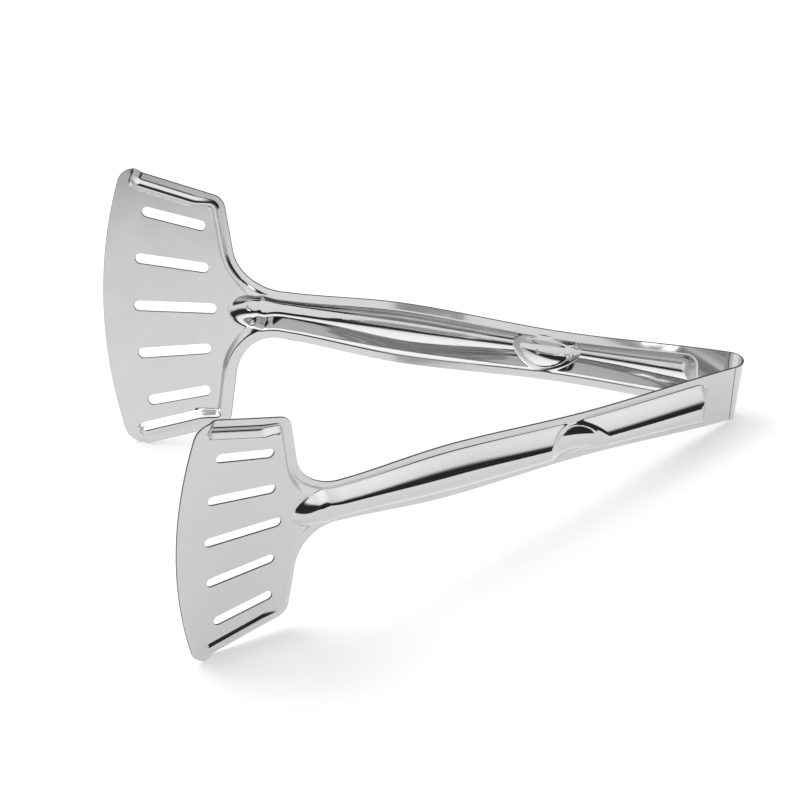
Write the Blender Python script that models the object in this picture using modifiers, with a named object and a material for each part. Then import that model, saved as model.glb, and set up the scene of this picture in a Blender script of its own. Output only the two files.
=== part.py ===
"""Fish tongs pressed from one strip of stainless steel sheet.

The strip is bent into a bow at one end.  Each half runs out as a channel
shaped arm with a thumb dimple and ends in a wide, slotted, fan shaped blade.
The pair lies on its side, as it does on a table: it stands on the lower front
corner of both blades and on the lower edge of the bow.

Each arm is drawn in its own frame: x runs from the centre of the bow to the
front of the blade, z runs across the sheet, and y points away from the other
arm.  All lengths are in metres.
"""
import math

import bmesh
import bpy
from mathutils import Matrix, Vector
from mathutils.geometry import delaunay_2d_cdt

# Sheet and bow
SHEET_THICKNESS = 0.0009
TOTAL_LENGTH = 0.281
BOW_OUTER_RADIUS = 0.0063
BAND_HALF_HEIGHT = 0.0136
HALF_OPENING = math.radians(22.8)
ARM_LEAN = math.radians(6.8)
SEAT_GAP = 0.0003
BOW_STEPS = 26

# Arm outline, as half widths at places along the arm
WAIST_PLACE = 0.073
WAIST_HALF_WIDTH = 0.0115
BELLY_PLACE = 0.142
BELLY_HALF_WIDTH = 0.0138
NECK_PLACE = 0.199
NECK_HALF_WIDTH = 0.0107
ARM_STEP = 0.0058

# Channel pressed into the arm
CHANNEL_DEPTH = 0.0086
CHANNEL_START = 0.0130
CHANNEL_RISE = 0.0095
CHANNEL_LIP = 0.0031
CHANNEL_WALL_RUN = 0.0078

# Nose where the channel ends on the blade
NOSE_REACH = 0.0215
NOSE_HALF_WIDTH = 0.0080
NOSE_LENGTH = 0.0115
NOSE_FLARE = 0.0080
NOSE_HEIGHT = 0.0068

# Thumb dimple
DIMPLE_PLACE = 0.0813
DIMPLE_HALF_LENGTH = 0.0136
DIMPLE_HALF_HEIGHT = 0.0078
DIMPLE_DEPTH = 0.0038

# Blade outline
BLADE_LENGTH = 0.0545
BLADE_HALF_WIDTH = 0.0627
BLADE_EDGE_ANGLE = math.radians(16.0)
REAR_EDGE_ANGLE = math.radians(8.0)
FAN_RADIUS = 0.210
FRONT_CORNER_RADIUS = 0.0080
SHOULDER_RADIUS = 0.0070
SWEEP_RADIUS = 0.0200

# Blade border, sunk towards the other blade
BORDER_WIDTH = 0.0034
BORDER_STEP = 0.0024
BORDER_WALL_RUN = 0.0052
BORDER_FADE_LENGTH = 0.0100
BORDER_FADE_INSET = 0.0085

# Slots, which all point at the centre of the fan
SLOT_WIDTH = 0.0046
SLOT_FRONT_INSET = 0.0134
SLOT_PITCH_ANGLE = math.radians(6.4)
MIDDLE_SLOT_LENGTH = 0.0360
INNER_SLOT_LENGTH = 0.0320
OUTER_SLOT_LENGTH = 0.0280

# Bend that turns the blade a little towards the other one
BLADE_BEND = math.radians(3.5)
BEND_LENGTH = 0.020

# Turn of the strip within its own width, which carries the blade downwards
BLADE_TURN = math.radians(5.2)
TURN_PLACE = 0.195
TURN_LENGTH = 0.020

# How the channel wall and the border wall climb, as shares of run and depth
CHANNEL_WALL_SHARES = ((0.0, 0.0), (0.12, 0.21), (0.28, 0.46), (0.50, 0.73), (0.75, 0.93), (1.0, 1.0))
LINE_SHARES = (0.0, 0.12, 0.28, 0.50, 0.75, 1.0)
RING_SHARES = (1.0, 0.86, 0.70, 0.52, 0.30)
NOSE_LINE_SHARES = (0.0, 0.12, 0.28, 0.60)
CLEAR_SHARE = 0.98

STEEL_COLOUR = (0.70, 0.70, 0.71, 1.0)
STEEL_ROUGHNESS = 0.2


def clear_scene():
    """Remove every object the file opens with."""
    for item in list(bpy.data.objects):
        bpy.data.objects.remove(item, do_unlink=True)


def smooth(share):
    """Ease from 0 to 1 with level ends."""
    share = min(max(share, 0.0), 1.0)
    return share * share * (3.0 - 2.0 * share)


def mix(first, second, share):
    return first + (second - first) * share


def read_shares(table, share):
    """Read a table of shares at one place, in straight steps."""
    for (x0, y0), (x1, y1) in zip(table, table[1:]):
        if share <= x1:
            return mix(y0, y1, (share - x0) / (x1 - x0))
    return table[-1][1]


# Places along the arm that follow from the sizes above
FRONT_PLACE = TOTAL_LENGTH - BOW_OUTER_RADIUS
FAN_CENTRE = FRONT_PLACE - FAN_RADIUS
REAR_PLACE = FRONT_PLACE - BLADE_LENGTH
NOSE_START = NECK_PLACE + NOSE_REACH - NOSE_LENGTH


def arm_half_width(x):
    """Half width of the arm at a place along it."""
    stations = ((0.0, BAND_HALF_HEIGHT), (WAIST_PLACE, WAIST_HALF_WIDTH),
                (BELLY_PLACE, BELLY_HALF_WIDTH), (NECK_PLACE, NECK_HALF_WIDTH))
    for (x0, w0), (x1, w1) in zip(stations, stations[1:]):
        if x <= x1:
            return mix(w0, w1, smooth((x - x0) / (x1 - x0)))
    return NECK_HALF_WIDTH


def blade_share(x):
    """How far a place along the arm belongs to the blade, from 0 to 1."""
    return smooth((x - NECK_PLACE) / (REAR_PLACE - NECK_PLACE))


def border_width(x):
    return mix(CHANNEL_LIP, BORDER_WIDTH, blade_share(x))


def wall_run(x):
    return mix(CHANNEL_WALL_RUN, BORDER_WALL_RUN, blade_share(x))


def rounded(corner, before, after, radius, steps):
    """Points of the arc that rounds one corner of an outline."""
    back = (before - corner).normalized()
    ahead = (after - corner).normalized()
    half = back.angle(ahead) / 2.0
    reach = radius / math.tan(half)
    centre = corner + (back + ahead).normalized() * (radius / math.sin(half))
    start = corner + back * reach - centre
    turn = start.angle_signed(corner + ahead * reach - centre)
    points = []
    for index in range(steps + 1):
        spoke = start.copy()
        spoke.rotate(Matrix.Rotation(-turn * index / steps, 2))
        points.append(centre + spoke)
    return points


def half_outline():
    """Upper half of the arm's outline, from the bow to the middle of the front."""
    points = []
    rows = round(NECK_PLACE / ARM_STEP)
    for row in range(rows):
        x = mix(SEAT_GAP, NECK_PLACE - SWEEP_RADIUS / 2.0, row / (rows - 1))
        points.append(Vector((x, arm_half_width(x))))
    edge_run = math.cos(BLADE_EDGE_ANGLE)
    edge_rise = math.sin(BLADE_EDGE_ANGLE)
    reach = FAN_RADIUS - FRONT_CORNER_RADIUS
    rise = BLADE_HALF_WIDTH - FRONT_CORNER_RADIUS
    corner_centre = Vector((FAN_CENTRE + math.sqrt(reach * reach - rise * rise), rise))
    edge_start = corner_centre + Vector((-edge_rise, edge_run)) * FRONT_CORNER_RADIUS
    along = (edge_start.x - REAR_PLACE) / edge_run
    shoulder = edge_start - Vector((edge_run, edge_rise)) * along
    lean = (shoulder.y - NECK_HALF_WIDTH) * math.tan(REAR_EDGE_ANGLE)
    inner_corner = Vector((REAR_PLACE - lean, NECK_HALF_WIDTH))
    neck = Vector((NECK_PLACE - SWEEP_RADIUS, NECK_HALF_WIDTH))
    points += rounded(inner_corner, neck, shoulder, SWEEP_RADIUS, 8)
    points += rounded(shoulder, inner_corner, edge_start, SHOULDER_RADIUS, 5)
    points.append(points[-1].lerp(edge_start, 0.5))
    start_angle = math.pi / 2.0 + BLADE_EDGE_ANGLE
    stop_angle = math.asin(rise / reach)
    for index in range(7):
        angle = mix(start_angle, stop_angle, index / 6.0)
        points.append(corner_centre + Vector((math.cos(angle), math.sin(angle))) * FRONT_CORNER_RADIUS)
    for index in range(1, 9):
        angle = stop_angle * (1.0 - index / 8.0)
        points.append(Vector((FAN_CENTRE + math.cos(angle) * FAN_RADIUS, math.sin(angle) * FAN_RADIUS)))
    return points


def outline():
    """Whole outline of the arm as a closed loop."""
    upper = half_outline()
    lower = [Vector((point.x, -point.y)) for point in reversed(upper[:-1])]
    return upper + lower


def distance_to(loop, point):
    """Shortest distance from a point to the edges of the sheet."""
    best = None
    for start, stop in zip(loop, loop[1:]):
        span = stop - start
        share = min(max((point - start).dot(span) / span.length_squared, 0.0), 1.0)
        gap = (start + span * share - point).length
        if best is None or gap < best:
            best = gap
    return best


def nose_half_width(x):
    """Half width of the nose, which widens back into the channel."""
    return NOSE_HALF_WIDTH + NOSE_FLARE * smooth((NOSE_START - x) / NOSE_LENGTH)


def nose_line(share):
    """Line around the nose at a share of its wall, from one side to the other."""
    points = []
    for index in range(5):
        x = NOSE_START - NOSE_LENGTH * (1.0 - index / 5.0) / 2.0
        points.append(Vector((x, nose_half_width(x) - CHANNEL_WALL_RUN * share)))
    scale = 1.0 - CHANNEL_WALL_RUN * share / NOSE_HALF_WIDTH
    for index in range(7):
        angle = math.pi / 2.0 * (1.0 - index / 6.0)
        points.append(Vector((NOSE_START + math.cos(angle) * NOSE_LENGTH * scale,
                              math.sin(angle) * NOSE_HALF_WIDTH * scale)))
    return points + [Vector((point.x, -point.y)) for point in reversed(points[:-1])]


def channel_level(x, z):
    """Height of the pressing over the rim, before its walls are put in."""
    rise = math.sqrt(1.0 - (1.0 - min(max((x - CHANNEL_START) / CHANNEL_RISE, 0.0), 1.0)) ** 2)
    deep = mix(CHANNEL_DEPTH, NOSE_HEIGHT, smooth((x - BELLY_PLACE) / (NECK_PLACE - BELLY_PLACE)))
    half = nose_half_width(x)
    ahead = max((x - NOSE_START) / NOSE_LENGTH, 0.0)
    ring = math.hypot(ahead, z / half)
    inside = read_shares(CHANNEL_WALL_SHARES, min(max((1.0 - ring) * half / CHANNEL_WALL_RUN, 0.0), 1.0))
    floor = mix(0.0, BORDER_STEP, blade_share(x))
    return mix(floor, deep * rise, inside)


def dimple_dip(x, z):
    """How far the thumb dimple lowers the floor of the channel."""
    ring = math.hypot((x - DIMPLE_PLACE) / DIMPLE_HALF_LENGTH, z / DIMPLE_HALF_HEIGHT)
    return DIMPLE_DEPTH * smooth((1.0 - ring) * 2.0)


def blade_drop(x):
    """How far the bend carries the sheet towards the other arm."""
    start = NECK_PLACE - BEND_LENGTH / 2.0
    along = min(max(x - start, 0.0), BEND_LENGTH)
    past = max(x - start - BEND_LENGTH, 0.0)
    slope = math.tan(BLADE_BEND)
    return slope * (along * along / (2.0 * BEND_LENGTH) + past)


def sheet_height(loop, x, z):
    """Height of the outer face of the sheet in the arm's frame."""
    inset = distance_to(loop, Vector((x, z)))
    share = min(max((inset - border_width(x)) / wall_run(x), 0.0), 1.0)
    climb = read_shares(CHANNEL_WALL_SHARES, share)
    fade_end = FRONT_PLACE - BORDER_FADE_INSET
    sunk = smooth((fade_end - x) / BORDER_FADE_LENGTH)
    climb = 1.0 - sunk * (1.0 - climb)
    return BOW_OUTER_RADIUS + channel_level(x, z) * climb - dimple_dip(x, z) - blade_drop(x)


def slot_loop(angle, length, steps=6):
    """Outline of one slot with round ends, pointing at the centre of the fan."""
    radius = SLOT_WIDTH / 2.0
    front = FAN_RADIUS - SLOT_FRONT_INSET - radius
    rear = front - length + SLOT_WIDTH
    along = Vector((math.cos(angle), math.sin(angle)))
    centre = Vector((FAN_CENTRE, 0.0))
    points = []
    for place, first in ((front, -math.pi / 2.0), (rear, math.pi / 2.0)):
        for index in range(steps + 1):
            turn = angle + first + math.pi * index / steps
            points.append(centre + along * place + Vector((math.cos(turn), math.sin(turn))) * radius)
    return points


def slot_loops():
    lengths = (OUTER_SLOT_LENGTH, INNER_SLOT_LENGTH, MIDDLE_SLOT_LENGTH, INNER_SLOT_LENGTH, OUTER_SLOT_LENGTH)
    return [slot_loop((index - 2) * SLOT_PITCH_ANGLE, length) for index, length in enumerate(lengths)]


def inside(loop, point):
    """Whether a point lies inside a closed outline."""
    hit = False
    for start, stop in zip(loop, loop[1:] + loop[:1]):
        if (start.y > point.y) != (stop.y > point.y):
            crossing = start.x + (point.y - start.y) / (stop.y - start.y) * (stop.x - start.x)
            if point.x < crossing:
                hit = not hit
    return hit


def inset_line(loop, line, share):
    """Line on the pressing that follows the upper outline at a share of the wall."""
    points = []
    for index, point in enumerate(line):
        before = line[max(index - 1, 0)]
        after = line[min(index + 1, len(line) - 1)]
        along = (after - before).normalized()
        inward = Vector((along.y, -along.x))
        depth = border_width(point.x) + wall_run(point.x) * share
        place = point + inward * depth
        if distance_to(loop, place) > depth * CLEAR_SHARE:
            points.append(place)
    return points


def turned(x, z):
    """Place of a point of the flat plan once the strip is turned within its width."""
    along = min(max(x - TURN_PLACE, 0.0), TURN_LENGTH)
    past = max(x - TURN_PLACE - TURN_LENGTH, 0.0)
    turn = BLADE_TURN * along / TURN_LENGTH
    radius = TURN_LENGTH / BLADE_TURN
    middle_x = min(x, TURN_PLACE) + radius * math.sin(turn) + past * math.cos(turn)
    middle_z = radius * (math.cos(turn) - 1.0) - past * math.sin(turn)
    return middle_x + z * math.sin(turn), middle_z + z * math.cos(turn)


def arm_plan():
    """Points and lines of the flat sheet, its pressing and its slots."""
    loop = outline()
    upper = half_outline()
    points = []
    edges = []

    def add_line(line, closed):
        first = len(points)
        points.extend(line)
        edges.extend((first + index, first + index + 1) for index in range(len(line) - 1))
        if closed:
            edges.append((first + len(line) - 1, first))

    add_line(loop, True)
    for share in LINE_SHARES:
        line = [point for point in inset_line(loop, upper, share) if point.y > 0.0 and point.x > SEAT_GAP]
        mirrored = [Vector((point.x, -point.y)) for point in reversed(line)]
        add_line(line + mirrored, False)
    for slot in slot_loops():
        add_line(slot, True)
    for share in RING_SHARES:
        ring = []
        for index in range(20):
            angle = math.tau * index / 20
            ring.append(Vector((DIMPLE_PLACE + math.cos(angle) * DIMPLE_HALF_LENGTH * share,
                                math.sin(angle) * DIMPLE_HALF_HEIGHT * share)))
        add_line(ring, True)
    for share in NOSE_LINE_SHARES:
        add_line(nose_line(share), False)
    return loop, points, edges


def arm_sheet(name, side):
    """Outer face of one arm as an open surface."""
    loop, points, edges = arm_plan()
    slots = slot_loops()
    result = delaunay_2d_cdt(points, edges, [], 0, SEAT_GAP / 100.0)
    places = result[0]
    mesh = bpy.data.meshes.new(name)
    shape = bmesh.new()
    corners = []
    for place in places:
        x, z = turned(place.x, place.y)
        corners.append(shape.verts.new((-x, side * sheet_height(loop, place.x, place.y), z)))
    for face in result[2]:
        middle = sum((places[index] for index in face), Vector((0.0, 0.0))) / len(face)
        if inside(loop, middle) and not any(inside(slot, middle) for slot in slots):
            shape.faces.new([corners[index] for index in face])
    loose = [corner for corner in shape.verts if not corner.link_faces]
    bmesh.ops.delete(shape, geom=loose, context="VERTS")
    bmesh.ops.recalc_face_normals(shape, faces=shape.faces)
    shape.normal_update()
    if sum(face.normal.y for face in shape.faces) * side < 0.0:
        bmesh.ops.reverse_faces(shape, faces=shape.faces)
    shape.to_mesh(mesh)
    shape.free()
    return mesh


def steel():
    """Polished stainless steel."""
    material = bpy.data.materials.new("polished_steel")
    material.use_nodes = True
    shader = material.node_tree.nodes["Principled BSDF"]
    shader.inputs["Base Color"].default_value = STEEL_COLOUR
    shader.inputs["Metallic"].default_value = 1.0
    shader.inputs["Roughness"].default_value = STEEL_ROUGHNESS
    return material


def add_object(name, mesh, collection, parent, material):
    """Place a mesh in the model as one named piece."""
    item = bpy.data.objects.new(name, mesh)
    mesh.materials.append(material)
    collection.objects.link(item)
    item.parent = parent
    return item


def add_empty(name, collection, parent=None):
    item = bpy.data.objects.new(name, None)
    item.empty_display_size = BOW_OUTER_RADIUS
    collection.objects.link(item)
    item.parent = parent
    return item


def thicken(item):
    """Give an outer face the thickness of the sheet, inwards."""
    shell = item.modifiers.new("sheet", "SOLIDIFY")
    shell.thickness = SHEET_THICKNESS
    shell.offset = -1.0
    shell.use_even_offset = True


def open_turn(side):
    """Turn that opens an arm from lying flat against the other one."""
    return Matrix.Rotation(-side * HALF_OPENING, 4, "Z") @ Matrix.Rotation(-side * ARM_LEAN, 4, "X")


def make_arm(name, side, collection, root, material):
    """One arm, hung from an empty on the centre of the bow whose z axis it swings about."""
    turn = open_turn(side)
    axis = turn.to_quaternion().axis
    if axis.z < 0.0:
        axis = -axis
    hinge = add_empty(name + "_hinge", collection, root)
    hinge.rotation_mode = "QUATERNION"
    hinge.rotation_quaternion = Vector((0.0, 0.0, 1.0)).rotation_difference(axis)
    item = add_object(name, arm_sheet(name, side), collection, hinge, material)
    item.rotation_mode = "QUATERNION"
    item.rotation_quaternion = hinge.rotation_quaternion.inverted() @ turn.to_quaternion()
    thicken(item)
    item.data.shade_smooth()
    item.data.set_sharp_from_angle(angle=math.radians(40.0))
    return item


def make_bow(name, collection, root, material):
    """Round band that joins the arms, a leaning line turned about the z axis."""
    sweep = math.pi - 2.0 * HALF_OPENING
    mesh = bpy.data.meshes.new(name)
    start = Matrix.Rotation(-sweep / 2.0, 3, "Z") @ Matrix.Rotation(ARM_LEAN, 3, "Y")
    ends = [start @ Vector((BOW_OUTER_RADIUS, 0.0, side * BAND_HALF_HEIGHT)) for side in (1.0, -1.0)]
    mesh.from_pydata(ends, [(0, 1)], [])
    item = add_object(name, mesh, collection, root, material)
    turn = item.modifiers.new("bow", "SCREW")
    turn.angle = sweep
    turn.steps = BOW_STEPS
    turn.render_steps = BOW_STEPS
    turn.merge_threshold = SEAT_GAP / 10.0
    thicken(item)
    return item


def lowest(item, tilt):
    """Lowest point of a piece when the pair is tipped about the y axis."""
    graph = bpy.context.evaluated_depsgraph_get()
    shape = item.evaluated_get(graph)
    turned = Matrix.Rotation(tilt, 4, "Y") @ shape.matrix_world
    return min((turned @ vertex.co).z for vertex in shape.data.vertices)


def lay_down(root, bow, arm):
    """Tip the pair until bow and blades touch the same level surface."""
    low = 0.0
    high = math.atan2(BLADE_HALF_WIDTH, REAR_PLACE) + BLADE_TURN + ARM_LEAN
    for _ in range(40):
        tilt = (low + high) / 2.0
        if lowest(arm, tilt) < lowest(bow, tilt):
            low = tilt
        else:
            high = tilt
    root.rotation_euler.y = tilt


def centre_over_origin(root, pieces):
    """Move the pair so that its box stands centred on the origin."""
    bpy.context.view_layer.update()
    graph = bpy.context.evaluated_depsgraph_get()
    places = []
    for item in pieces:
        shape = item.evaluated_get(graph)
        places += [shape.matrix_world @ vertex.co for vertex in shape.data.vertices]
    for axis in range(3):
        low = min(place[axis] for place in places)
        high = max(place[axis] for place in places)
        root.location[axis] = -low if axis == 2 else -(low + high) / 2.0


def build():
    clear_scene()
    collection = bpy.data.collections.new("fish_tongs")
    bpy.context.scene.collection.children.link(collection)
    material = steel()
    root = add_empty("lying_pair", collection)
    bow = make_bow("spring_bow", collection, root, material)
    far = make_arm("far_arm", 1, collection, root, material)
    near = make_arm("near_arm", -1, collection, root, material)
    bpy.context.view_layer.update()
    lay_down(root, bow, far)
    centre_over_origin(root, (bow, far, near))
    bpy.context.view_layer.update()


build()
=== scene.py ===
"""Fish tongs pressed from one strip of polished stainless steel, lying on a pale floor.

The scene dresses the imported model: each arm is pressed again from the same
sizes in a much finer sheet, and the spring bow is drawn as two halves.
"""
import logging
import math
from dataclasses import dataclass, field
from enum import Enum
from typing import Any

import bpy
import numpy as np
from mathutils import Matrix, Vector
from mathutils.geometry import delaunay_2d_cdt
from mathutils.kdtree import KDTree


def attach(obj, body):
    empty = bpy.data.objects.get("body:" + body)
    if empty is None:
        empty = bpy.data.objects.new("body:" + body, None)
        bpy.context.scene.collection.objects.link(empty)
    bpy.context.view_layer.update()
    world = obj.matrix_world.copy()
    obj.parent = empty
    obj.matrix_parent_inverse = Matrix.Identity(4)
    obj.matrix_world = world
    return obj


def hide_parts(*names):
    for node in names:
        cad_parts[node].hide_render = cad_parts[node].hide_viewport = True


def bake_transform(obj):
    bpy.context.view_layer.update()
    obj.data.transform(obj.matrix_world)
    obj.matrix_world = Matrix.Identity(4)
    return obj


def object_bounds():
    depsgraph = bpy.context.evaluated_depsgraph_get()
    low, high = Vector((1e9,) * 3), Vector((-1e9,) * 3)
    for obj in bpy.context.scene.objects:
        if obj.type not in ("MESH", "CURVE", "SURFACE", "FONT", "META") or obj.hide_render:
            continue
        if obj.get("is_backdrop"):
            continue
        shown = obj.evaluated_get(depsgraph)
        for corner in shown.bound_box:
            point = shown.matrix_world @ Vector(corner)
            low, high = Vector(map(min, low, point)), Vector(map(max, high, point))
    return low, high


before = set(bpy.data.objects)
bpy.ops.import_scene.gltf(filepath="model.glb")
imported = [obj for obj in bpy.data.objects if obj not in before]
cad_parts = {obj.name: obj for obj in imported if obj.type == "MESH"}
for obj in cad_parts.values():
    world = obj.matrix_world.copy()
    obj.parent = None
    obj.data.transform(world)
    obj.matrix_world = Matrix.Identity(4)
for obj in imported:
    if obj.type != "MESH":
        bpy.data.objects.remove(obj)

logging.basicConfig(level=logging.INFO, format="%(name)s: %(message)s")
log = logging.getLogger("tongs")

Array = np.ndarray
MIRROR = np.array([1.0, -1.0])    # turns the upper half of an outline into the lower
BLOCK = 2000                      # points that are measured at a time


class Side(Enum):
    """Which arm of the pair: the value turns the arm's own frame to its side."""

    FAR = 1
    NEAR = -1


class Ray(Enum):
    """Kinds of ray that the studio tells apart, by the name of the output."""

    CAMERA = "Is Camera Ray"
    GLOSSY = "Is Glossy Ray"


def ease(share: Array | float) -> Array | float:
    """Ease from 0 to 1 with level ends."""
    share = np.clip(share, 0.0, 1.0)
    return share * share * (3.0 - 2.0 * share)


def mix(first: Any, second: Any, share: Any) -> Any:
    """Blend two numbers or arrays."""
    return first + (second - first) * share


@dataclass
class Strip:
    """Sizes of the strip that bow and arms share, and its place in the scene.

    The arm's own frame has x from the centre of the bow to the front of the
    blade, z across the sheet and y away from the other arm.
    """

    thickness: float = 0.0009
    total_length: float = 0.281
    bow_radius: float = 0.0063
    band_half_height: float = 0.0136
    half_opening: float = math.radians(22.8)
    arm_lean: float = math.radians(6.8)
    tilt: float = 0.21735727787017822
    bow_centre: tuple[float, float, float] = (0.120246, 0.0, 0.014917)
    edge_round: float = 0.00022

    def placing(self, side: Side) -> Matrix:
        """Matrix from an arm's own frame, with x reversed, to the scene.

        Args:
            side: the arm.

        Returns:
            The matrix at rest.
        """
        place = Matrix.Translation(self.bow_centre) @ Matrix.Rotation(self.tilt, 4, "Y")
        opening = Matrix.Rotation(-side.value * self.half_opening, 4, "Z")
        return place @ opening @ Matrix.Rotation(-side.value * self.arm_lean, 4, "X")


@dataclass
class ArmForm:
    """Outline, pressing and slots of one arm, as heights over the flat sheet.

    Lengths are in metres. A place is a distance from the bow, and the waist,
    belly and neck are places with the half width there.
    """

    strip: Strip = field(default_factory=Strip)
    # the channel of the handle, and the nose where it ends on the blade
    waist: tuple[float, float] = (0.073, 0.0115)
    belly: tuple[float, float] = (0.142, 0.0138)
    neck: tuple[float, float] = (0.199, 0.0107)
    channel_depth: float = 0.0086
    channel_start: float = 0.0130
    channel_lip: float = 0.0031
    channel_round: float = 0.98
    channel_corner: float = 0.0055
    lip_run: float = 0.0018
    nose_reach: float = 0.0215
    nose_half_width: float = 0.0080
    nose_length: float = 0.0115
    nose_flare: float = 0.0080
    nose_height: float = 0.0068
    nose_run: float = 0.0060
    nose_blend: float = 0.0030
    # the thumb dimple: a ring of steep wall and a bowl, as shares of its half sizes
    dimple_place: float = 0.0813
    dimple_half_length: float = 0.0136
    dimple_half_height: float = 0.0078
    dimple_depth: float = 0.0050
    dimple_bowl: float = 0.84
    dimple_reach: float = 1.12
    dimple_fall: float = 0.36
    # the outline of the blade
    blade_length: float = 0.0545
    blade_half_width: float = 0.0627
    blade_edge_angle: float = math.radians(16.0)
    rear_edge_angle: float = math.radians(8.0)
    fan_radius: float = 0.210
    front_corner_radius: float = 0.0080
    shoulder_radius: float = 0.0070
    sweep_radius: float = 0.0200
    # its border: a flat rim, a dip into a groove, and a wall up to the flat
    border_step: float = 0.0024
    border_fade_length: float = 0.0050
    border_fade_inset: float = 0.0050
    rim_widths: tuple[float, float] = (0.0024, 0.0030)
    dip_runs: tuple[float, float] = (0.0016, 0.0027)
    groove_runs: tuple[float, float] = (0.0024, 0.0028)
    groove_depths: tuple[float, float] = (0.0006, 0.0014)
    border_change_start: float = 0.0040
    border_change_length: float = 0.0100
    dip_bend: float = 0.25
    climb_bend: float = 0.18
    crease: float = 0.07
    # the slots
    slot_width: float = 0.0046
    slot_front_inset: float = 0.0134
    slot_pitch_angle: float = math.radians(6.4)
    slot_lengths: tuple[float, ...] = (0.0280, 0.0320, 0.0360, 0.0320, 0.0280)
    # how the strip bends and turns at the neck
    blade_bend: float = math.radians(3.5)
    bend_length: float = 0.020
    blade_turn: float = math.radians(5.2)
    turn_place: float = 0.195
    turn_length: float = 0.020
    # how finely the sheet is drawn
    outline_step: float = 0.0011
    arc_density: float = 1.6
    corner_steps: int = 16
    bend_steps: int = 9
    nose_steps: int = 15
    slot_steps: int = 13
    ring_steps: int = 56
    nose_flank: float = 0.6
    slope_step: float = 0.00006
    rim_reach: float = 1.15
    line_clearance: float = 0.0004
    line_tolerance: float = 0.985

    def __post_init__(self) -> None:
        """Work out the places that follow from the sizes."""
        self.front = self.strip.total_length - self.strip.bow_radius
        self.fan_centre = self.front - self.fan_radius
        self.rear = self.front - self.blade_length
        self.nose_start = self.neck[0] + self.nose_reach - self.nose_length
        self.upper, self.side_count = self.upper_outline()
        self.loop = np.vstack([self.upper, self.upper[-2::-1] * MIRROR])

    def half_width(self, x: Array) -> Array:
        """Half width of the arm at places along it."""
        stations = ((0.0, self.strip.band_half_height), self.waist, self.belly, self.neck)
        width = np.full_like(x, self.neck[1])
        for (x0, w0), (x1, w1) in reversed(list(zip(stations, stations[1:]))):
            width = np.where(x <= x1, mix(w0, w1, ease((x - x0) / (x1 - x0))), width)
        return width

    def blade_share(self, x: Array) -> Array:
        """How far places along the arm belong to the blade."""
        return ease((x - self.neck[0]) / (self.rear - self.neck[0]))

    def by_place(self, x: Array, pair: tuple[float, float]) -> Array:
        """A size of the blade's border.

        Args:
            x: places along the arm.
            pair: the size at the shoulders, and along the sides.

        Returns:
            The size at each place.
        """
        start = self.rear + self.border_change_start
        return mix(pair[0], pair[1], ease((x - start) / self.border_change_length))

    def narrowing(self, x: Array) -> Array:
        """How far the arm has narrowed from its belly to its neck."""
        return ease((x - self.belly[0]) / (self.neck[0] - self.belly[0]))

    def border(self, x: Array) -> Array:
        """Distance from the edge to the foot of the wall."""
        groove = self.by_place(x, self.rim_widths) + self.by_place(x, self.dip_runs)
        return mix(self.channel_lip, groove, self.blade_share(x))

    def run(self, x: Array) -> Array:
        """Width over which the wall climbs."""
        channel = (self.half_width(x) - self.channel_lip) * self.channel_round
        return mix(channel, self.by_place(x, self.groove_runs), self.blade_share(x))

    def arc(self, corner: Array, before: Array, after: Array, radius: float) -> Array:
        """Round one corner of an outline.

        Args:
            corner: the sharp corner.
            before: a point on the edge that leads to it.
            after: a point on the edge that leaves it.
            radius: the rounding.

        Returns:
            Points along the arc.
        """
        back = (before - corner) / np.linalg.norm(before - corner)
        ahead = (after - corner) / np.linalg.norm(after - corner)
        half = math.acos(float(np.clip(back @ ahead, -1.0, 1.0))) / 2.0
        bisector = (back + ahead) / np.linalg.norm(back + ahead)
        centre = corner + bisector * radius / math.sin(half)
        start = corner + back * radius / math.tan(half) - centre
        stop = corner + ahead * radius / math.tan(half) - centre
        turn = math.atan2(start[0] * stop[1] - start[1] * stop[0], float(start @ stop))
        count = max(int(abs(turn) * radius / self.outline_step * self.arc_density), 8)
        angles = np.linspace(0.0, turn, count)[:, None]
        side = np.array([-start[1], start[0]])
        return centre + start * np.cos(angles) + side * np.sin(angles)

    def upper_outline(self) -> tuple[Array, int]:
        """Upper half of the outline, from the bow to the middle of the front.

        Returns:
            The points, and how many come before the front corner.
        """
        run_end = self.neck[0] - self.sweep_radius / 2.0
        x = np.linspace(0.0, run_end, int(run_end / self.outline_step))
        handle = np.stack([x, self.half_width(x)], 1)
        along = np.array([math.cos(self.blade_edge_angle), math.sin(self.blade_edge_angle)])
        reach = self.fan_radius - self.front_corner_radius
        rise = self.blade_half_width - self.front_corner_radius
        centre = np.array([self.fan_centre + math.sqrt(reach * reach - rise * rise), rise])
        edge_start = centre + np.array([-along[1], along[0]]) * self.front_corner_radius
        shoulder = edge_start - along * (edge_start[0] - self.rear) / along[0]
        lean = (shoulder[1] - self.neck[1]) * math.tan(self.rear_edge_angle)
        inner = np.array([self.rear - lean, self.neck[1]])
        neck = np.array([self.neck[0] - self.sweep_radius, self.neck[1]])
        sweep = self.arc(inner, neck, shoulder, self.sweep_radius)
        round_off = self.arc(shoulder, inner, edge_start, self.shoulder_radius)
        stop = math.asin(rise / reach)
        first = math.pi / 2.0 + self.blade_edge_angle
        corner_angles = np.linspace(first, stop, self.corner_steps)
        corner = centre + self.front_corner_radius * np.stack(
            [np.cos(corner_angles), np.sin(corner_angles)], 1)
        front_steps = int(stop * self.fan_radius / self.outline_step)
        front_angles = np.linspace(stop, 0.0, front_steps)[1:]
        front = np.stack([self.fan_centre + np.cos(front_angles) * self.fan_radius,
                          np.sin(front_angles) * self.fan_radius], 1)
        sides = [handle, sweep, self.between(sweep[-1], round_off[0]), round_off,
                 self.between(round_off[-1], corner[0])]
        return np.vstack([*sides, corner, front]), sum(len(piece) for piece in sides) + 1

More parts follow.
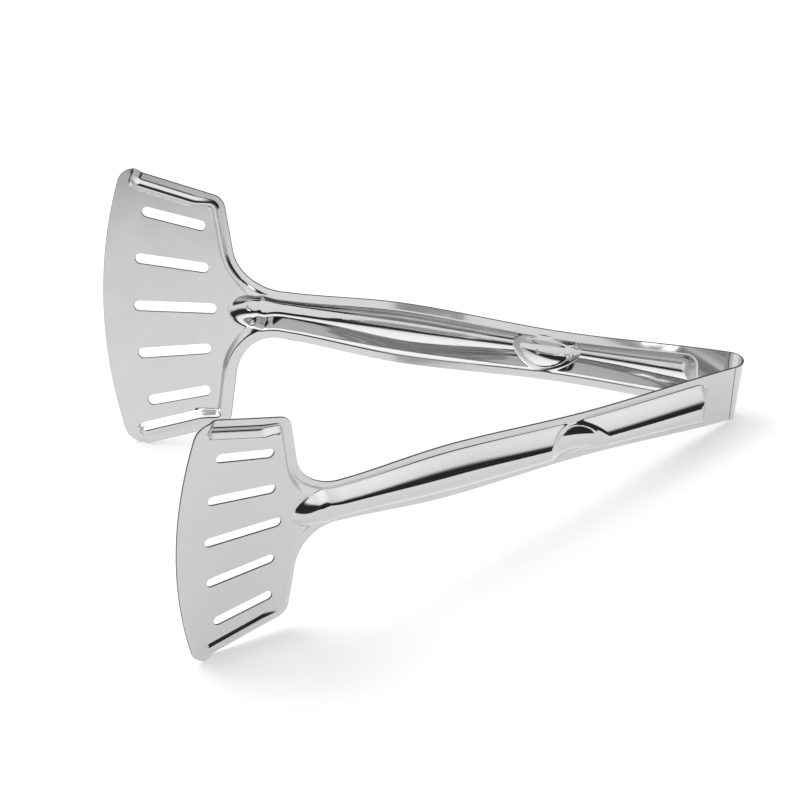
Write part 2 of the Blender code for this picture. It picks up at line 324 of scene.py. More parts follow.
    def between(self, start: Array, stop: Array) -> Array:
        """Points between two ends of a straight edge, without the ends."""
        count = int(np.linalg.norm(stop - start) / self.outline_step)
        shares = np.linspace(0.0, 1.0, count + 2)[1:-1, None]
        return start + (stop - start) * shares

    def inset(self, points: Array) -> Array:
        """Distance of points from the sheet's side edges, with the front edge left out."""
        side = self.upper[:self.side_count]
        start = side[:-1]
        span = side[1:] - start
        length = (span * span).sum(1)
        best = np.empty(len(points))
        folded = np.stack([points[:, 0], np.abs(points[:, 1])], 1)
        for first in range(0, len(points), BLOCK):
            block = folded[first:first + BLOCK, None, :] - start
            share = np.clip((block * span).sum(2) / length, 0.0, 1.0)
            gap = block - share[:, :, None] * span
            best[first:first + BLOCK] = np.sqrt((gap * gap).sum(2).min(1))
        return best

    def ramp(self, share: Array, bend: float) -> Array:
        """Even climb from 0 to 1 with rounded ends.

        Args:
            share: how much of the run is behind.
            bend: share of the run that each rounded end takes.

        Returns:
            How much of the climb is behind.
        """
        share = np.clip(share, 0.0, 1.0)
        ends = np.minimum(share, 1.0 - share)
        rounded = ends * ends / (2.0 * bend * (1.0 - bend))
        curve = np.where(ends < bend, rounded, (ends - bend / 2.0) / (1.0 - bend))
        return np.where(share < 0.5, curve, 1.0 - curve)

    def wall(self, share: Array) -> Array:
        """How the channel's wall climbs: a small bend at the lip, then an arch to the top."""
        share = np.clip(share, 0.0, 1.0)
        full = math.hypot(1.0, self.crease) - self.crease
        share = (np.hypot(share, self.crease) - self.crease) / full
        return 1.0 - (1.0 - share) ** 2

    def nose_half(self, x: Array) -> Array:
        """Half width of the nose, which widens back into the channel."""
        widening = ease((self.nose_start - x) / self.nose_length)
        return self.nose_half_width + self.nose_flare * widening

    def risen(self, x: Array, z: Array, inset: Array) -> Array:
        """How far the channel and its nose have climbed.

        Args:
            x: places along the arm.
            z: places across it.
            inset: distances from its side edges.

        Returns:
            0 at the lip to 1 on top.
        """
        half = self.nose_half(x)
        ahead = np.maximum((x - self.nose_start) / self.nose_length, 0.0)
        nose = (1.0 - np.hypot(ahead, z / half)) * half
        side = self.depth(x, inset)
        blend = np.maximum(self.nose_blend - np.abs(nose - side), 0.0) / self.nose_blend
        nearest = np.minimum(nose, side) - blend * blend * self.nose_blend / 4.0
        channel_run = self.run(np.minimum(x, self.belly[0]))
        return self.wall(nearest / mix(channel_run, self.nose_run, self.narrowing(x)))

    def dimple(self, x: Array, z: Array) -> Array:
        """How far the thumb dimple lowers the floor of the channel."""
        along = (x - self.dimple_place) / self.dimple_half_length
        ring = np.hypot(along, z / self.dimple_half_height)
        bowl = np.maximum(1.0 - (ring / self.dimple_bowl) ** 2, 0.0)
        side = ease((self.dimple_reach - ring) / self.dimple_fall)
        return self.dimple_depth * (side + bowl) / 2.0

    def drop(self, x: Array) -> Array:
        """How far the bend carries the sheet towards the other arm."""
        start = self.neck[0] - self.bend_length / 2.0
        along = np.clip(x - start, 0.0, self.bend_length)
        past = np.maximum(x - start - self.bend_length, 0.0)
        return math.tan(self.blade_bend) * (along * along / (2.0 * self.bend_length) + past)

    def height(self, points: Array) -> Array:
        """Height of the sheet's outer face at points of the flat sheet."""
        x, z = points[:, 0], points[:, 1]
        inset = self.inset(points)
        deep = mix(self.channel_depth, self.nose_height, self.narrowing(x))
        reach = self.fan_radius - np.hypot(x - self.fan_centre, z)
        sunk = ease((reach - self.border_fade_inset) / self.border_fade_length)
        climb = self.ramp((inset - self.border(x)) / self.run(x), self.climb_bend)
        past_rim = inset - self.by_place(x, self.rim_widths)
        dip = self.ramp(past_rim / self.by_place(x, self.dip_runs), self.dip_bend)
        pressed = mix(-self.by_place(x, self.groove_depths) * dip, self.border_step, climb)
        flat = mix(self.border_step, pressed, sunk) * self.blade_share(x)
        raised = mix(flat, deep, self.risen(x, z, inset))
        return self.strip.bow_radius + raised - self.dimple(x, z) - self.drop(x)

    def depth(self, x: Array, inset: Array) -> Array:
        """Distance inside the foot of the wall, with round corners at the channel's end."""
        side = inset - self.border(x)
        end = x - self.channel_start
        corner = self.channel_corner
        near = (side < corner) & (end < corner)
        rounded = corner - np.hypot(np.maximum(corner - side, 0.0), np.maximum(corner - end, 0.0))
        return np.where(near, rounded, np.minimum(side, end))

    def slopes(self, points: Array) -> Array:
        """Slope of the outer face along x and z, by small steps both ways."""
        result = []
        for move in np.eye(2) * self.slope_step:
            climb = self.height(points + move) - self.height(points - move)
            result.append(climb / (2.0 * self.slope_step))
        return np.stack(result, 1)

    def turned(self, points: Array, normals: Array) -> tuple[Array, Array]:
        """Turn the strip within its own width, which carries the blade downwards.

        Args:
            points: places of the straight strip in the arm's own frame.
            normals: normals there.

        Returns:
            The places and normals of the turned strip.
        """
        x, z = points[:, 0], points[:, 2]
        along = np.clip(x - self.turn_place, 0.0, self.turn_length)
        past = np.maximum(x - self.turn_place - self.turn_length, 0.0)
        turn = self.blade_turn * along / self.turn_length
        radius = self.turn_length / self.blade_turn
        cos, sin = np.cos(turn), np.sin(turn)
        middle_x = np.minimum(x, self.turn_place) + radius * sin + past * cos
        middle_z = radius * (cos - 1.0) - past * sin
        places = np.stack([middle_x + z * sin, points[:, 1], middle_z + z * cos], 1)
        turned = np.stack([normals[:, 0] * cos + normals[:, 2] * sin, normals[:, 1],
                           normals[:, 2] * cos - normals[:, 0] * sin], 1)
        return places, turned

    def slot_loop(self, angle: float, length: float) -> Array:
        """Outline of one slot with round ends, pointing at the fan's centre.

        Args:
            angle: direction from the fan's centre.
            length: the slot's whole length.

        Returns:
            Points round the slot.
        """
        radius = self.slot_width / 2.0
        front = self.fan_radius - self.slot_front_inset - radius
        rear = front - length + self.slot_width
        along = np.array([math.cos(angle), math.sin(angle)])
        points = []
        for place, first in ((front, -math.pi / 2.0), (rear, math.pi / 2.0)):
            turns = angle + first + np.linspace(0.0, math.pi, self.slot_steps)
            centre = np.array([self.fan_centre, 0.0]) + along * place
            points.append(centre + radius * np.stack([np.cos(turns), np.sin(turns)], 1))
        top, bottom = points
        return np.vstack([top, self.between(top[-1], bottom[0]),
                          bottom, self.between(bottom[-1], top[0])])

    def slot_loops(self) -> list[Array]:
        """Outlines of all the slots."""
        middle = (len(self.slot_lengths) - 1) / 2
        return [self.slot_loop((index - middle) * self.slot_pitch_angle, length)
                for index, length in enumerate(self.slot_lengths)]

    def inset_line(self, share: float) -> Array:
        """Upper half of a line that keeps its distance from the edge.

        Args:
            share: share of the wall, or where it is negative, of the rim outside it.

        Returns:
            Points from the middle of the channel's end to the front.
        """
        side = self.upper[:self.side_count]
        before = np.vstack([side[:1], side[:-1]])
        after = np.vstack([side[1:], side[-1:]])
        along = after - before
        along /= np.linalg.norm(along, axis=1)[:, None]
        inward = np.stack([along[:, 1], -along[:, 0]], 1)
        x = side[:, 0]
        rim = self.by_place(x, self.dip_runs) * self.rim_reach
        outer = mix(self.lip_run, rim, self.blade_share(x))
        offset = share * (self.run(x) if share > 0.0 else outer)
        depth = self.border(x) + offset
        line = side + inward * depth[:, None]
        end = self.channel_start + offset[0]
        radius = max(self.channel_corner - offset[0], 0.0)
        keep = (line[:, 1] > 0.0) & (line[:, 0] > end + radius + self.line_clearance)
        line = line[keep & (self.inset(line) > depth * self.line_tolerance)]
        centre = np.array([end + radius, line[0, 1] - radius])
        turns = np.linspace(math.pi, math.pi / 2.0, self.bend_steps)[:, None]
        arc = centre + radius * np.hstack([np.cos(turns), np.sin(turns)])
        rise = np.linspace(0.0, centre[1], self.bend_steps)[:-1]
        cap = np.stack([np.full_like(rise, end), rise], 1)
        return np.vstack([cap, arc if radius > 0.0 else arc[:1], line])

    def nose_line(self, share: float) -> Array:
        """Line round the nose at a share of its wall."""
        first = self.nose_start - self.nose_length * self.nose_flank
        x = np.linspace(first, self.nose_start, self.bend_steps)[:-1]
        flank = np.stack([x, self.nose_half(x) - self.nose_run * share], 1)
        scale = 1.0 - self.nose_run * share / self.nose_half_width
        angles = np.linspace(math.pi / 2.0, 0.0, self.nose_steps)
        tip = np.stack([self.nose_start + np.cos(angles) * self.nose_length * scale,
                        np.sin(angles) * self.nose_half_width * scale], 1)
        upper = np.vstack([flank, tip])
        return np.vstack([upper, upper[-2::-1] * MIRROR])

    def dimple_ring(self, share: float) -> Array:
        """Ring in the thumb dimple."""
        angles = np.linspace(0.0, math.tau, self.ring_steps + 1)[:-1]
        along = self.dimple_place + np.cos(angles) * self.dimple_half_length * share
        return np.stack([along, np.sin(angles) * self.dimple_half_height * share], 1)


def inside(loop: Array, points: Array) -> Array:
    """Whether points lie inside a closed outline.

    Args:
        loop: the outline.
        points: the points.

    Returns:
        One truth value for each point.
    """
    hit = np.zeros(len(points), bool)
    x, z = points[:, 0], points[:, 1]
    for (x0, z0), (x1, z1) in zip(loop, np.roll(loop, -1, axis=0)):
        if z0 == z1:
            continue
        crosses = (z0 > z) != (z1 > z)
        hit ^= crosses & (x < x0 + (z - z0) / (z1 - z0) * (x1 - x0))
    return hit


@dataclass
class SheetPlan:
    """Flat mesh of one arm: points of the sheet and the triangles between them."""

    form: ArmForm
    wall_shares: tuple[float, ...] = (
        -1.0, -0.85, -0.7, -0.55, -0.4, -0.26, -0.13, -0.04, 0.0, 0.03, 0.07,
        0.12, 0.18, 0.25, 0.33, 0.42, 0.52, 0.63, 0.75, 0.87, 1.0)
    nose_shares: tuple[float, ...] = (
        -0.12, -0.04, 0.0, 0.04, 0.1, 0.18, 0.28, 0.4, 0.54, 0.7, 0.85, 1.0)
    dimple_shares: tuple[float, ...] = (
        1.12, 1.07, 1.03, 0.99, 0.95, 0.91, 0.87, 0.83, 0.79, 0.73, 0.64, 0.52, 0.38, 0.2)
    grid_step: float = 0.0013
    clearance: float = 0.00063

    def build(self) -> tuple[Array, Array]:
        """Lay the lines and the grid out and join them.

        Returns:
            Points of the flat sheet, and triangles as rows of three indices.
        """
        form = self.form
        points: list[Array] = []
        edges: list[tuple[int, int]] = []

        def add_line(line: Array, closed: bool) -> None:
            """Add one line of points whose steps stay edges of the mesh.

            Args:
                line: the points.
                closed: whether the last joins the first.
            """
            first = sum(len(part) for part in points)
            points.append(line)
            last = first + len(line) - 1
            edges.extend((index, index + 1) for index in range(first, last))
            if closed:
                edges.append((last, first))

        slots = form.slot_loops()
        add_line(form.loop, True)
        for share in self.wall_shares:
            line = form.inset_line(share)
            add_line(np.vstack([line[::-1], line[1:] * MIRROR]), False)
        for slot in slots:
            add_line(slot, True)
        for share in self.dimple_shares:
            add_line(form.dimple_ring(share), True)
        for share in self.nose_shares:
            add_line(form.nose_line(share), False)
        fixed = np.vstack(points)
        grid = self.grid(fixed)
        everything = [Vector(point) for point in np.vstack([fixed, grid])]
        result = delaunay_2d_cdt(everything, edges, [], 0, 1e-6)
        places = np.array([place[:] for place in result[0]])
        faces = np.array([face for face in result[2] if len(face) == 3])
        middles = places[faces].mean(1)
        keep = inside(form.loop, middles)
        for slot in slots:
            keep &= ~inside(slot, middles)
        faces = faces[keep]
        used, renamed = np.unique(faces, return_inverse=True)
        return places[used], renamed.reshape(-1, 3)

    def grid(self, fixed: Array) -> Array:
        """Even grid of points that keep clear of the lines."""
        tree = KDTree(len(fixed))
        for index, (x, z) in enumerate(fixed):
            tree.insert((x, z, 0.0), index)
        tree.balance()
        row_step = self.grid_step * math.sqrt(0.75)
        kept = []
        for row in range(int(2.0 * self.form.blade_half_width / row_step)):
            z = -self.form.blade_half_width + row * row_step
            x = np.arange(self.grid_step * (0.5 * (row % 2)), self.form.front, self.grid_step)
            kept.append(np.stack([x, np.full_like(x, z)], 1))
        grid = np.vstack(kept)
        grid = grid[inside(self.form.loop, grid)]
        for slot in self.form.slot_loops():
            grid = grid[~inside(slot, grid)]
        far = [tree.find((x, z, 0.0))[2] > self.clearance for x, z in grid]
        return grid[np.array(far)]


@dataclass
class Shell:
    """Turns an outer face into a closed sheet with rounded edges."""

    thickness: float
    edge_round: float
    # depth, bulge and tilt of the rows of points across the cut edge
    edge_profile: tuple[tuple[float, float, float], ...] = (
        (0.09, 0.71, 0.70), (0.26, 1.0, 0.97), (0.50, 1.0, 1.0), (0.74, 1.0, 0.97),
        (0.91, 0.71, 0.70))

    def rim(self, faces: Array) -> list[tuple[int, int]]:
        """Directed edges that only one of the outer faces has."""
        links = {(int(first), int(second)): True
                 for face in faces for first, second in zip(face, np.roll(face, -1))}
        return [(a, b) for a, b in links if (b, a) not in links]

    def reach(self, outer: Array, normals: Array, rim: list[tuple[int, int]],
              edge: Array) -> Array:
        """Directions in which the sheet ends.

        Args:
            outer: points of the outer face.
            normals: unit normals there.
            rim: the edges round the sheet.
            edge: indices of the points on them.

        Returns:
            A unit direction within the sheet for each of those points.
        """
        away = np.zeros_like(outer)
        for a, b in rim:
            out = np.cross(outer[b] - outer[a], (normals[a] + normals[b]) / 2.0)
            out /= max(np.linalg.norm(out), 1e-12)
            away[a] += out
            away[b] += out
        reach = away[edge] / np.maximum(np.linalg.norm(away[edge], axis=1), 1e-9)[:, None]
        reach -= normals[edge] * (reach * normals[edge]).sum(1)[:, None]
        return reach / np.linalg.norm(reach, axis=1)[:, None]

    def close(self, outer: Array, normals: Array,
              faces: Array) -> tuple[Array, Array, list[tuple[int, ...]]]:
        """Add the inner face and the edges.

        Args:
            outer: points of the outer face.
            normals: unit normals there.
            faces: triangles or quads of the outer face, facing outwards.

        Returns:
            All points, their normals, and the faces.
        """
        count = len(outer)
        rim = self.rim(faces)
        edge = np.array(sorted({a for pair in rim for a in pair}))
        reach = self.reach(outer, normals, rim, edge)
        pulled = outer.copy()
        pulled[edge] -= reach * self.edge_round
        points = [pulled, pulled - normals * self.thickness]
        directions = [normals, -normals]
        rows = [edge]
        first = 2 * count
        for depth, bulge, tilt in self.edge_profile:
            out = reach * self.edge_round * bulge
            points.append(pulled[edge] + out - normals[edge] * self.thickness * depth)
            lift = math.sqrt(max(1.0 - tilt * tilt, 0.0)) * (1.0 if depth < 0.5 else -1.0)
            directions.append(reach * tilt + normals[edge] * lift)
            rows.append(np.arange(first, first + len(edge)))
            first += len(edge)
        rows.append(edge + count)
        names = {int(name): index for index, name in enumerate(edge)}
        solid = [tuple(int(index) for index in face) for face in faces]
        solid += [tuple(int(index) + count for index in reversed(face)) for face in faces]
        for upper, lower in zip(rows, rows[1:]):
            for a, b in rim:
                solid.append((int(upper[names[b]]), int(upper[names[a]]),
                              int(lower[names[a]]), int(lower[names[b]])))
        return np.vstack(points), np.vstack(directions), solid


class Wire:
    """One socket of a shader, with the sums that shader maths needs."""

    def __init__(self, tree: bpy.types.NodeTree, socket: bpy.types.NodeSocket) -> None:
        """Keep the socket and the tree it belongs to."""
        self.tree = tree
        self.socket = socket

    def _math(self, operation: str, *values: "Wire | float") -> "Wire":
        """Add one Math node."""
        inputs = dict(enumerate(values))
        return Nodes(self.tree).add("ShaderNodeMath", {"operation": operation}, inputs)

    def __add__(self, other: "Wire | float") -> "Wire":
        """Sum."""
        return self._math("ADD", self, other)

    def __sub__(self, other: "Wire | float") -> "Wire":
        """Difference."""
        return self._math("SUBTRACT", self, other)

    def __rsub__(self, other: float) -> "Wire":
        """Difference, number first."""
        return self._math("SUBTRACT", other, self)

    def __mul__(self, other: "Wire | float") -> "Wire":
        """Product."""
        return self._math("MULTIPLY", self, other)

    def ramp(self, low: float, high: float) -> "Wire":
        """Ease from 0 at low to 1 at high."""
        settings = {"interpolation_type": "SMOOTHSTEP", "clamp": True}
        inputs = {0: self, 1: low, 2: high, 3: 0.0, 4: 1.0}
        return Nodes(self.tree).add("ShaderNodeMapRange", settings, inputs)


class Nodes:
    """Makes the nodes of one shader tree."""

    def __init__(self, tree: bpy.types.NodeTree) -> None:
        """Keep the tree."""
        self.tree = tree

    def node(self, kind: str, settings: dict[str, Any] | None = None,
             inputs: dict[int | str, Any] | None = None) -> bpy.types.Node:
        """Add a node.

        Args:
            kind: Blender's name of the node type.
            settings: properties, set before the sockets.
            inputs: values or wires of its sockets, by index or name.

        Returns:
            The node.
        """
        node = self.tree.nodes.new(kind)
        for name, value in (settings or {}).items():
            setattr(node, name, value)
        for name, value in (inputs or {}).items():
            if isinstance(value, Wire):
                self.tree.links.new(value.socket, node.inputs[name])
            else:
                node.inputs[name].default_value = value
        return node

    def add(self, kind: str, settings: dict[str, Any] | None = None,
            inputs: dict[int | str, Any] | None = None, output: int | str = 0) -> Wire:
        """Add a node and give one of its outputs."""
        return Wire(self.tree, self.node(kind, settings, inputs).outputs[output])

    def attribute(self, name: str, output: str) -> Wire:
        """Read one attribute of the mesh."""
        return self.add("ShaderNodeAttribute", {"attribute_name": name}, output=output)

    def noise(self, place: Wire, scale: float, detail: float) -> Wire:
        """Add soft noise over a place."""
        inputs = {"Vector": place, "Scale": scale, "Detail": detail}
        return self.add("ShaderNodeTexNoise", None, inputs)

    def seen_by(self, ray: Ray) -> Wire:
        """Tell whether the ray is of one kind."""
        return self.add("ShaderNodeLightPath", output=ray.value)

    def finish(self, shader: Wire, kind: str) -> None:
        """Link a shader to the output of the tree."""
        self.node(kind, None, {0: shader})


def fresh_tree(material: bpy.types.Material | bpy.types.World) -> Nodes:
    """Empty node tree of a material or world."""
    material.use_nodes = True
    material.node_tree.nodes.clear()
    return Nodes(material.node_tree)


@dataclass(frozen=True)
class StampedSteel:
    """Bright rolled stainless steel, mirror smooth on the arms and satin on the blades, with
    painted shade darkening its cut edges.
    """

    name: str = "polished_steel"
    colour: tuple[float, float, float, float] = (0.63, 0.63, 0.632, 1.0)
    cloud: float = 0.02
    # how far the cut edges are darkened towards black: painted shade, with a little of the rough
    # sheared edge's own darkness
    cut_edge_painted_shade: float = 0.92
    arm_roughness: float = 0.08
    blade_roughness: float = 0.15
    roughness_cloud: float = 0.05
    cloud_scale: float = 70.0
    grain_scale: float = 2600.0
    grain_stretch: float = 0.03
    grain_height: float = 0.0000006
    wave_scale: float = 55.0
    wave_height: float = 0.00003

    def material(self) -> bpy.types.Material:
        """Build the shader.

        Returns:
            The material.
        """
        steel = bpy.data.materials.new(self.name)
        nodes = fresh_tree(steel)
        place = nodes.attribute("sheet_place", "Vector")
        satin = nodes.attribute("satin", "Fac")
        cloud = nodes.noise(place, self.cloud_scale, 4.0)
        stretch = {0: place, 3: (self.grain_stretch, 1.0, 1.0)}
        grain_place = nodes.add("ShaderNodeMapping", None, stretch)
        grain = nodes.noise(grain_place, self.grain_scale, 2.0)
        wave = nodes.noise(place, self.wave_scale, 1.0)
        # the cut edges are darkened near black: mostly painted shade, partly the rougher sheared
        # steel
        cut = nodes.attribute("cut", "Fac")
        bright = 1.0 - cloud * self.cloud * 2.0 + grain * self.cloud
        shade = bright * (1.0 - cut * self.cut_edge_painted_shade)
        dark = (0.0, 0.0, 0.0, 1.0)
        colour = nodes.add("ShaderNodeMix", {"data_type": "RGBA", "blend_type": "MIX"},
                           {0: shade, 6: dark, 7: self.colour}, output=2)
        roughness = satin * (self.blade_roughness - self.arm_roughness) + self.arm_roughness
        roughness = roughness + (cloud - 0.5) * self.roughness_cloud
        height = wave * self.wave_height + grain * self.grain_height
        bump = nodes.add("ShaderNodeBump", None,
                         {"Strength": 1.0, "Distance": 1.0, "Height": height})
        shader = nodes.add("ShaderNodeBsdfPrincipled", None, {
            "Base Color": colour, "Metallic": 1.0, "Roughness": roughness, "Normal": bump})
        nodes.finish(shader, "ShaderNodeOutputMaterial")
        return steel


@dataclass
class Part:
    """One finished piece: its mesh, its attributes and its place."""

    name: str
    points: Array
    normals: Array
    faces: list[tuple[int, ...]]
    place: Array
    satin: Array
    # rows of the cut edges, which the steel darkens as painted shade
    cut: Array

    def make(self, matrix: Matrix, side: Side, material: bpy.types.Material) -> bpy.types.Object:
        """Build the object in the scene's own frame.

        Args:
            matrix: from the arm's frame, with x reversed, to the scene.
            side: the arm that the piece belongs to.
            material: its finish.

        Returns:
            The object.
        """
        flip = np.array([-1.0, side.value, 1.0])
        turn = np.array(matrix.to_3x3())
        points = (self.points * flip) @ turn.T + np.array(matrix.translation)
        normals = (self.normals * flip) @ turn.T
        faces = self.faces if side is Side.NEAR else [tuple(reversed(face)) for face in self.faces]
        mesh = bpy.data.meshes.new(self.name)
        mesh.from_pydata(points.tolist(), [], faces)
        mesh.polygons.foreach_set("use_smooth", np.ones(len(mesh.polygons), bool))
        place = mesh.attributes.new("sheet_place", "FLOAT_VECTOR", "POINT")
        place.data.foreach_set("vector", self.place.astype(np.float32).ravel())
        for name, values in (("satin", self.satin), ("cut", self.cut)):
            layer = mesh.attributes.new(name, "FLOAT", "POINT")
            layer.data.foreach_set("value", values.astype(np.float32))
        mesh.materials.append(material)
        mesh.validate(verbose=False)
        mesh.update()
        mesh.normals_split_custom_set_from_vertices(normals.tolist())
        piece = bpy.data.objects.new(self.name, mesh)
        bpy.context.scene.collection.objects.link(piece)
        log.info("%s: %d faces", self.name, len(mesh.polygons))
        return piece


@dataclass
class ArmPressing:
    """The arm with its blade, pressed from the flat plan."""

    form: ArmForm
    shell: Shell
    satin_start: float = 0.004

    def part(self) -> Part:
        """Press the sheet.

        Returns:
            The piece in the arm's own frame, the same for both sides.
        """
        plan, faces = SheetPlan(self.form).build()
        height = self.form.height(plan)
        slopes = self.form.slopes(plan)
        points = np.stack([plan[:, 0], height, plan[:, 1]], 1)
        normals = np.stack([-slopes[:, 0], np.ones(len(plan)), -slopes[:, 1]], 1)
        normals /= np.linalg.norm(normals, axis=1)[:, None]
        corners = points[faces]
        facing = np.cross(corners[:, 1] - corners[:, 0], corners[:, 2] - corners[:, 0])[:, 1]
        faces = np.where((facing < 0.0)[:, None], faces[:, ::-1], faces)
        points, normals = self.form.turned(points, normals)
        everything, all_normals, solid = self.shell.close(points, normals, faces)
        satin = self.form.blade_share(everything[:, 0] - self.satin_start)
        place = everything[:, [0, 2, 1]]
        # marks the rows of the cut edges, which the steel darkens as painted shade
        cut = np.arange(len(everything)) >= 2 * len(points)
        return Part("arm", everything, all_normals, solid, place, satin, cut)


@dataclass
class BowBend:
    """Half of the round band that joins the arms."""

    strip: Strip
    shell: Shell
    turns: int = 28
    rows: int = 20

    def part(self) -> Part:
        """Bend the band from the arm to the middle of the bow.

        Returns:
            The piece in the arm's own frame, the same for both sides.
        """
        sweep = math.pi / 2.0 - self.strip.half_opening
        angles = np.linspace(0.0, sweep, self.turns + 1)
        z = np.linspace(-self.strip.band_half_height, self.strip.band_half_height, self.rows + 1)
        turn, level = np.meshgrid(angles, z, indexing="ij")
        lean = self.strip.arm_lean
        radius = self.strip.bow_radius * math.cos(lean) + level * math.sin(lean)
        height = level * math.cos(lean) - self.strip.bow_radius * math.sin(lean)
        points = self.leant(-np.sin(turn) * radius, np.cos(turn) * radius, height)
        normals = self.leant(-np.sin(turn) * math.cos(lean), np.cos(turn) * math.cos(lean),
                             np.full_like(turn, -math.sin(lean)))
        step = self.rows + 1
        faces = np.array([(a, a + 1, a + step + 1, a + step) for row in range(self.turns)
                          for a in range(row * step, row * step + self.rows)])
        corners = points[faces]
        facing = np.cross(corners[:, 1] - corners[:, 0], corners[:, 2] - corners[:, 0])
        if (facing * normals[faces[:, 0]]).sum() < 0.0:
            faces = faces[:, ::-1]
        everything, all_normals, solid = self.shell.close(points, normals, faces)
        around = -turn.ravel() * self.strip.bow_radius
        place = np.stack([around, level.ravel(), np.zeros(turn.size)], 1)
        edge = everything[2 * len(points):]
        extra = np.stack([-np.hypot(edge[:, 0], edge[:, 1]), edge[:, 2], np.zeros(len(edge))], 1)
        # marks the rows of the cut edges, which the steel darkens as painted shade
        cut = np.arange(len(everything)) >= 2 * len(points)
        return Part("bow", everything, all_normals, solid, np.vstack([place, place, extra]),
                    np.zeros(len(everything)), cut)

    def leant(self, x: Array, y: Array, z: Array) -> Array:
        """Rows of points or directions, turned from upright to the arm's lean."""
        cos, sin = math.cos(self.strip.arm_lean), math.sin(self.strip.arm_lean)
        return np.stack([x, y * cos - z * sin, y * sin + z * cos], 2).reshape(-1, 3)


@dataclass
class Tongs:
    """The whole pair: two arms and the two halves of the spring bow."""

    strip: Strip = field(default_factory=Strip)

    def build(self) -> None:
        """Make every piece, and let each arm ride on its body."""
        steel = StampedSteel().material()
        form = ArmForm(self.strip)
        shell = Shell(self.strip.thickness, self.strip.edge_round)
        arm = ArmPressing(form, shell).part()
        bow = BowBend(self.strip, shell).part()
        sweep = math.pi / 2.0 - self.strip.half_opening
        middle = self.strip.bow_radius - self.strip.thickness / 2.0
        for side, body in ((Side.FAR, "far"), (Side.NEAR, "near")):
            matrix = self.strip.placing(side)
            arm.name = body + "_arm_pressing"
            piece = arm.make(matrix, side, steel)
            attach(piece, body)
            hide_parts(body + "_arm")
            bow.name = body + "_bow_half"
            half = bow.make(matrix, side, steel)
            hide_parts("spring_bow")
            across = side.value * middle
            start = Vector((math.sin(sweep) * middle, math.cos(sweep) * across, 0.0))
            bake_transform(half)


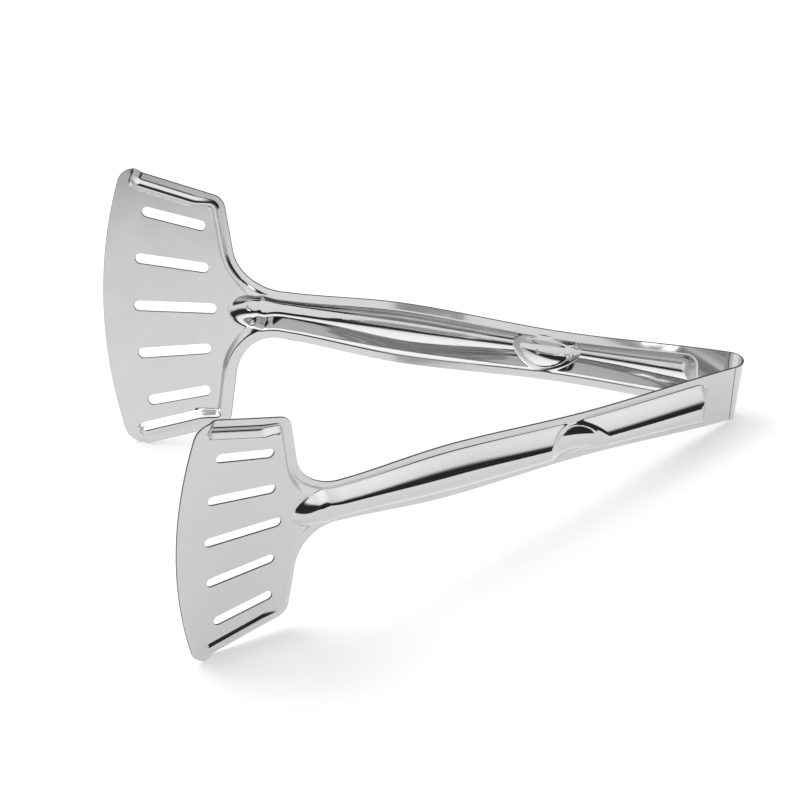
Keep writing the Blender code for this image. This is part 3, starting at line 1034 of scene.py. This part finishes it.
@dataclass
class Studio:
    """Pale floor, soft light and the camera at the photograph's angle."""

    azimuth: float = -2.72
    elevation: float = 30.31
    roll: float = -12.10
    distance: float = 8.503
    target: tuple[float, float, float] = (-0.0164, 0.0, 0.0456)
    lens: float = 900.0
    sensor: float = 36.0
    floor_size: float = 1.3
    floor_colour: tuple[float, float, float, float] = (0.88, 0.88, 0.88, 1.0)
    floor_glow: tuple[float, float] = (0.45, 0.75)
    white: tuple[float, float, float, float] = (1.0, 1.0, 1.0, 1.0)
    front_right: float = 0.10
    front_rise: float = 0.55
    front_range: tuple[float, float] = (0.15, 0.38)
    tent_low: float = 0.55
    tent_rise: float = 0.90
    front_level: float = 0.03
    key_spot: tuple[float, float, float] = (-0.9, 1.1, 1.7)
    key_size: float = 1.8
    key_power: float = 34.0

    def camera(self) -> None:
        """Set the camera up."""
        a, e, r = (math.radians(value) for value in (self.azimuth, self.elevation, self.roll))
        ahead = Vector((-math.sin(a) * math.cos(e), math.cos(a) * math.cos(e), -math.sin(e)))
        flat = Vector((math.cos(a), math.sin(a), 0.0))
        up = flat.cross(ahead)
        right = flat * math.cos(r) + up * math.sin(r)
        top = up * math.cos(r) - flat * math.sin(r)
        data = bpy.data.cameras.new("studio_camera")
        data.lens = self.lens
        data.sensor_width = self.sensor
        data.clip_start = 0.05
        data.clip_end = 50.0
        camera = bpy.data.objects.new("studio_camera", data)
        spot = Vector(self.target) - ahead * self.distance
        turn = Matrix((right, top, -ahead)).transposed().to_4x4()
        camera.matrix_world = Matrix.Translation(spot) @ turn
        bpy.context.scene.collection.objects.link(camera)
        bpy.context.scene.camera = camera

    def floor(self) -> None:
        """Lay the pale floor, partly lit from below where the camera or the metal sees it."""
        half = self.floor_size / 2.0
        mesh = bpy.data.meshes.new("studio_floor")
        spots = [(x * half, y * half, 0.0) for x, y in ((-1, -1), (1, -1), (1, 1), (-1, 1))]
        mesh.from_pydata(spots, [], [(0, 1, 2, 3)])
        material = bpy.data.materials.new("studio_floor")
        nodes = fresh_tree(material)
        seen = nodes.seen_by(Ray.CAMERA)
        mirrored = nodes.seen_by(Ray.GLOSSY)
        paper = nodes.add("ShaderNodeBsdfDiffuse", None, {"Color": self.floor_colour})
        glow = nodes.add("ShaderNodeEmission", None, {"Color": self.white, "Strength": 1.0})
        share = seen * self.floor_glow[0] + mirrored * self.floor_glow[1]
        lit = nodes.add("ShaderNodeMixShader", None, {0: share, 1: paper, 2: glow})
        nodes.finish(lit, "ShaderNodeOutputMaterial")
        mesh.materials.append(material)
        floor = bpy.data.objects.new("studio_floor", mesh)
        bpy.context.scene.collection.objects.link(floor)
        floor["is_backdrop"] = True

    def world(self) -> None:
        """White for the camera, and for the metal a white tent with a dark opening in front."""
        world = bpy.data.worlds.new("studio_world")
        bpy.context.scene.world = world
        nodes = fresh_tree(world)
        way = nodes.add("ShaderNodeTexCoord", output="Generated")
        split = nodes.node("ShaderNodeSeparateXYZ", None, {0: way})
        right, behind, up = (Wire(world.node_tree, split.outputs[name]) for name in "XYZ")
        front = right * self.front_right - behind - up * self.front_rise
        tent = 1.0 - front.ramp(*self.front_range)
        seen = nodes.seen_by(Ray.CAMERA)
        glow = tent * (up * self.tent_rise + self.tent_low) + self.front_level
        level = glow * (1.0 - seen) + seen
        grey = nodes.add("ShaderNodeCombineColor", None, {0: level, 1: level, 2: level})
        light = nodes.add("ShaderNodeBackground", None, {"Color": grey, "Strength": 1.0})
        nodes.finish(light, "ShaderNodeOutputWorld")

    def key_lamp(self) -> None:
        """Hang one soft lamp, behind on the left, that faces the tongs."""
        data = bpy.data.lights.new("key_lamp", "AREA")
        data.shape = "SQUARE"
        data.size = self.key_size
        data.energy = self.key_power
        lamp = bpy.data.objects.new("key_lamp", data)
        spot = Vector(self.key_spot)
        lamp.location = spot
        lamp.rotation_mode = "QUATERNION"
        lamp.rotation_quaternion = (Vector(self.target) - spot).to_track_quat("-Z", "Y")
        bpy.context.scene.collection.objects.link(lamp)

    def build(self) -> None:
        """Set everything up."""
        bpy.context.scene.view_settings.view_transform = "Standard"
        self.camera()
        self.floor()
        self.world()
        self.key_lamp()


def corners() -> list[list[float]]:
    """The shown object's box as plain lists."""
    return [[float(value) for value in corner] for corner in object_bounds()]


def main() -> None:
    """Build the studio and the tongs."""
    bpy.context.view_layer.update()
    Studio().build()
    Tongs().build()


if __name__ == "__main__":
    main()
